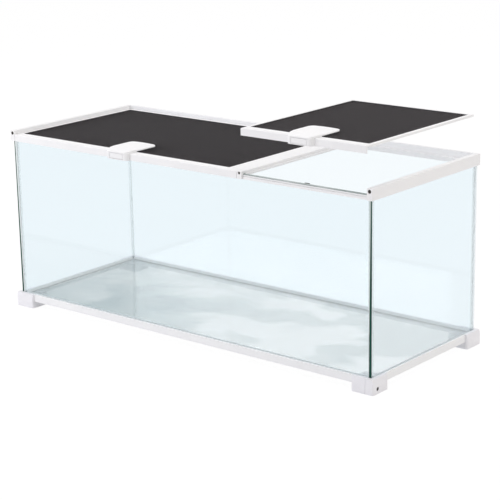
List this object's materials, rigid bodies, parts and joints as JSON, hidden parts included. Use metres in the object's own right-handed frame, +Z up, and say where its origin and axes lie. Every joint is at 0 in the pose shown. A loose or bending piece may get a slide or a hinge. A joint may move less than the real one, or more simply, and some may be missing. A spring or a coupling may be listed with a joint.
{
  "type": "reptile terrarium",
  "caption": "Long low glass tank on a white plastic base with corner feet; its framed top holds screened lids with a moulded front strip and handle, and each lid lifts straight off its bay.",
  "frame": {"origin": "on the table, in the middle of the bounding box's footprint, with the right-hand lid held lifted off as it is at rest", "axes": "+X along the front to the viewer's right, +Y from the front pane to the back pane, +Z up"},
  "size_m": [0.817, 0.3264, 0.4055],
  "materials": {
    "glass": "clear float glass with polished edges",
    "silicone": "clear silicone, smooth",
    "white_plastic": "white, satin moulded or extruded",
    "black_plastic": "black, moulded",
    "screen": "charcoal coated wire",
    "spline": "dark grey, soft",
    "dark_steel": "blackened screws"
  },
  "bodies": {
    "tank": {"front_glass": "glass", "back_glass": "glass", "left_glass": "glass", "right_glass": "glass", "floor_glass": "glass", "corner_seals": "silicone", "floor_seals": "silicone", "base_rail_front": "white_plastic", "base_rail_back": "white_plastic", "base_rail_left": "white_plastic", "base_rail_right": "white_plastic", "foot_front_left": "white_plastic", "foot_front_right": "white_plastic", "foot_back_left": "white_plastic", "foot_back_right": "white_plastic", "foot_screws": "dark_steel", "top_rail_left": "white_plastic", "top_rail_right": "white_plastic", "top_rail_back": "white_plastic", "corner_block_left": "white_plastic", "corner_block_right": "white_plastic", "crossbar": "white_plastic", "crossbar_post": "white_plastic", "front_rail_left": "white_plastic", "front_rail_right": "white_plastic", "front_post_left": "white_plastic", "front_post_right": "white_plastic", "frame_screws": "dark_steel", "catch_left": "black_plastic", "catch_right": "black_plastic"},
    "left_lid": {"left_lid_bars": "white_plastic", "left_lid_screen": "screen", "left_lid_spline": "spline", "left_lid_strip": "white_plastic", "left_lid_strip_ends": "white_plastic", "left_lid_handle": "white_plastic"},
    "right_lid": {"right_lid_bars": "white_plastic", "right_lid_screen": "screen", "right_lid_spline": "spline", "right_lid_strip": "white_plastic", "right_lid_strip_ends": "white_plastic", "right_lid_handle": "white_plastic"}
  },
  "joints": [
    {"name": "left_lid_lift", "type": "slide", "parent": "tank", "child": "left_lid", "axis": [0, 0, 1], "range_m": [0, 0.15]},
    {"name": "right_lid_lift", "type": "slide", "parent": "tank", "child": "right_lid", "axis": [0, 0, 1], "range_m": [-0.073, 0.12]}
  ]
}
